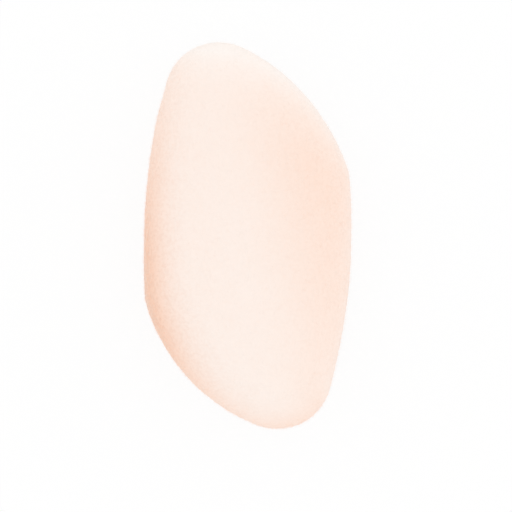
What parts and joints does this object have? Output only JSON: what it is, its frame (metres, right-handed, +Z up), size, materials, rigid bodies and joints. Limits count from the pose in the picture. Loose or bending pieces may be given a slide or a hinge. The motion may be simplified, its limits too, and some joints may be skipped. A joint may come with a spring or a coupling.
{
  "type": "makeup sponge",
  "caption": "Flat-lying cosmetic applicator: slanted rounded-parallelogram foam pad with a full round edge, crowned faces and a flocked velvety skin.",
  "frame": {"origin": "bottom centre, on the flat rest under the middle of the sponge", "axes": "+Z up through the thickness, +Y along the length towards the tip that is uppermost in the picture, +X across, towards the picture's right"},
  "size_m": [0.041, 0.076, 0.02],
  "materials": {
    "foam": "soft open-cell foam, fine pores, matt, peach",
    "glue": "thin flexible dried glue, satin, milky",
    "flock": "short velvety flocked pile, matt with a soft bloom, pale peach"
  },
  "bodies": {
    "root": {"foam_core": "foam", "adhesive_coat": "glue", "flock_nap": "flock"}
  },
  "joints": []
}
